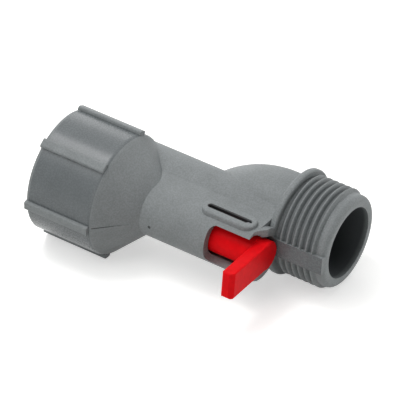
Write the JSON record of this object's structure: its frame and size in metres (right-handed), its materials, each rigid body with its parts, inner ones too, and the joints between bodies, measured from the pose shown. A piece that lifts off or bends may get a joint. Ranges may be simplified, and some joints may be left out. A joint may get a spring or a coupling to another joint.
{
  "type": "hand-operated diaphragm valve",
  "caption": "Plastic inline diaphragm valve with a ribbed threaded inlet cap, an offset threaded outlet and a red slide handle in a side window.",
  "frame": {"origin": "centre of the inlet's mouth, on the axis of the inlet thread", "axes": "+X along the flow from the inlet to the outlet, +Y towards the offset outlet's side, +Z towards the guide slot"},
  "size_m": [0.0742, 0.0486, 0.0324],
  "materials": {
    "body": "spark-eroded matte",
    "slider": "satin",
    "insert": "natural",
    "elastomer": "moulded",
    "mesh": "woven wire",
    "steel": "bright"
  },
  "bodies": {
    "housing": {"body": "body", "inlet_gasket": "elastomer", "strainer_frame": "insert", "strainer_mesh": "mesh", "seat_ring": "insert", "seat_o_ring": "elastomer", "clamp_ring": "insert", "diaphragm": "elastomer"},
    "slide": {"slider": "slider", "guide_pin": "steel", "stem_o_ring": "elastomer", "diaphragm_button": "insert", "button_screw": "steel"}
  },
  "joints": [
    {"name": "slider_slide", "type": "slide", "parent": "housing", "child": "slide", "axis": [1, 0, 0], "range_m": [-0.0096, 0], "deforming": ["diaphragm"]}
  ]
}
